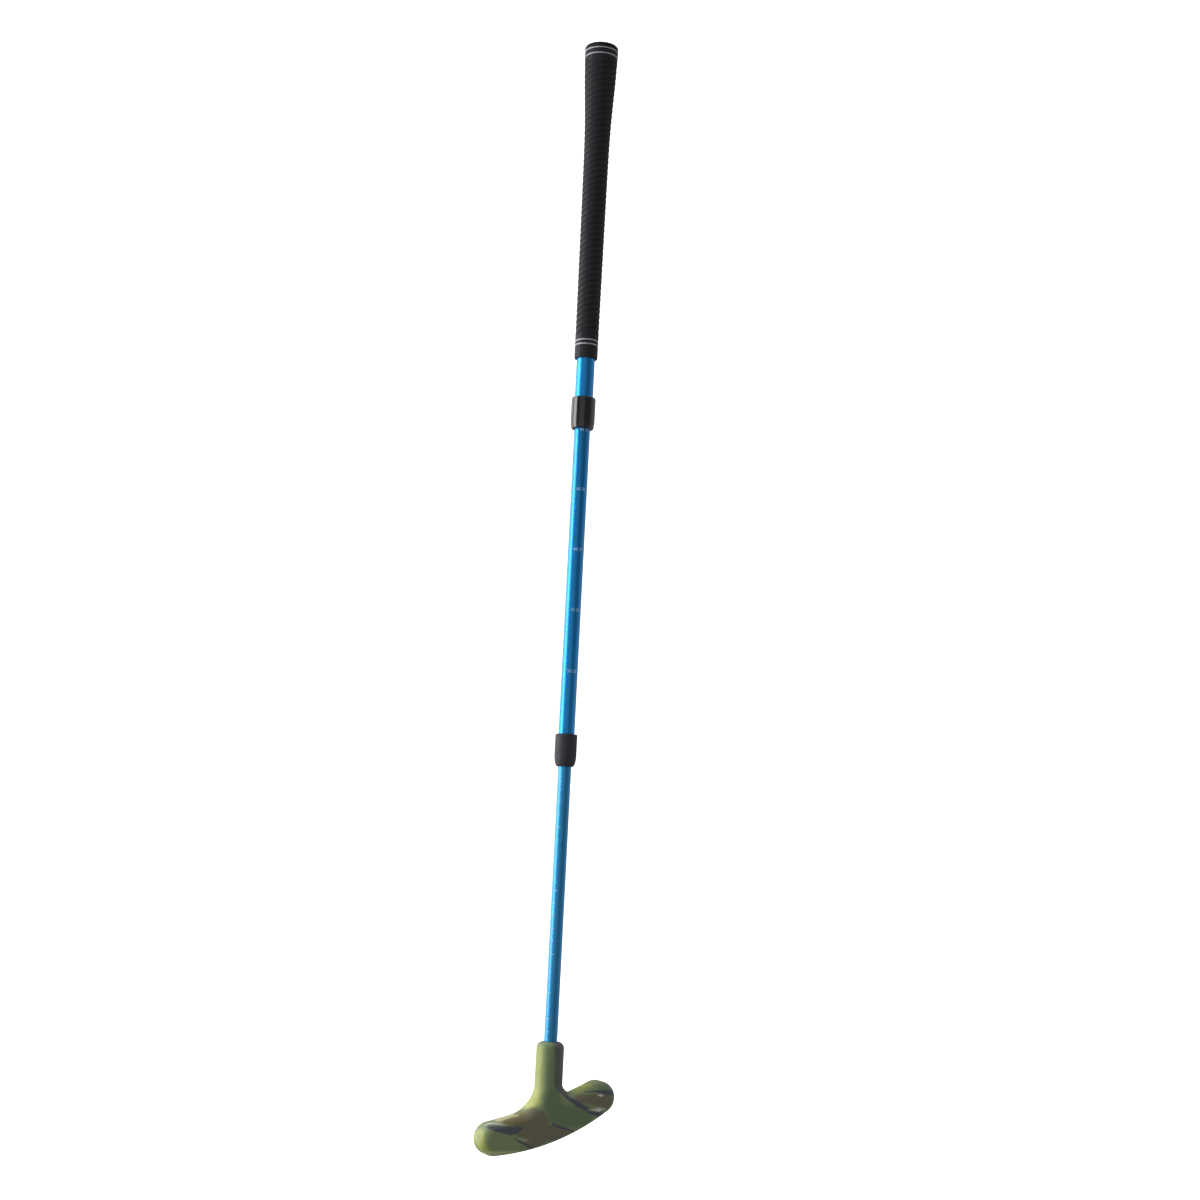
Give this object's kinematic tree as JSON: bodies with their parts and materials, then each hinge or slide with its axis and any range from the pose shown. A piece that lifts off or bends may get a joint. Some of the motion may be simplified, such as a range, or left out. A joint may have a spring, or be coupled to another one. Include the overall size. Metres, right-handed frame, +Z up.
{
  "type": "golf putter",
  "caption": "Two-way golf putter with a telescopic shaft held by internal twist locks, a tapered rubber grip and a rubber-covered head.",
  "frame": {"origin": "centre of the butt end, on the shaft's axis", "axes": "+Z up the shaft and out of the butt, +X to the heel of the head, -Y out of the front striking face"},
  "size_m": [0.1123, 0.028, 0.9137],
  "materials": {
    "grip_rubber": "matt moulded rubber with fine slanted ribs",
    "cap_rubber": "smooth hard rubber",
    "tape": "paper tape",
    "anodised_blue": "satin blue anodised",
    "gloss_black": "polished black plastic",
    "satin_black": "satin black plastic",
    "nylon": "moulded nylon",
    "zinc_steel": "zinc-plated steel",
    "brass": "turned brass",
    "core_metal": "as cast",
    "camouflage_rubber": "satin rubber in green, brown and black camouflage"
  },
  "bodies": {
    "grip_section": {"grip_sleeve": "grip_rubber", "butt_cap": "cap_rubber", "grip_tape": "tape", "upper_tube": "anodised_blue", "upper_collar": "gloss_black"},
    "upper_lock_sleeve": {"upper_expander": "nylon"},
    "upper_lock_nut": {"upper_cone": "brass"},
    "middle_section": {"middle_tube": "anodised_blue", "lower_collar": "satin_black", "upper_plug": "nylon", "upper_screw": "zinc_steel", "upper_stop": "zinc_steel"},
    "lower_lock_sleeve": {"lower_expander": "nylon"},
    "lower_lock_nut": {"lower_cone": "brass"},
    "lower_section": {"lower_tube": "anodised_blue", "lower_plug": "nylon", "lower_screw": "zinc_steel", "lower_stop": "zinc_steel", "head_core": "core_metal", "head_cover": "camouflage_rubber"}
  },
  "joints": [
    {"name": "upper_slide", "type": "slide", "parent": "grip_section", "child": "upper_lock_sleeve", "axis": [0, 0, 1], "range_m": [0, 0.2514]},
    {"name": "upper_twist", "type": "hinge", "parent": "upper_lock_sleeve", "child": "middle_section", "pos_m": [0, 0, -0.2926], "axis": [0, 0, 1], "range_deg": [0, 540]},
    {"name": "upper_nut_travel", "type": "slide", "parent": "upper_lock_sleeve", "child": "upper_lock_nut", "axis": [0, 0, -1], "range_m": [0, 0.003]},
    {"name": "lower_slide", "type": "slide", "parent": "middle_section", "child": "lower_lock_sleeve", "axis": [0, 0, 1], "range_m": [0, 0.216]},
    {"name": "lower_twist", "type": "hinge", "parent": "lower_lock_sleeve", "child": "lower_section", "pos_m": [0, 0, -0.572], "axis": [0, 0, 1], "range_deg": [0, 540]},
    {"name": "lower_nut_travel", "type": "slide", "parent": "lower_lock_sleeve", "child": "lower_lock_nut", "axis": [0, 0, -1], "range_m": [0, 0.003]}
  ],
  "couplings": [
    {"joint": "upper_nut_travel", "follows": "upper_twist", "m_per_rad": 0.0003183},
    {"joint": "lower_nut_travel", "follows": "lower_twist", "m_per_rad": 0.0003183}
  ]
}
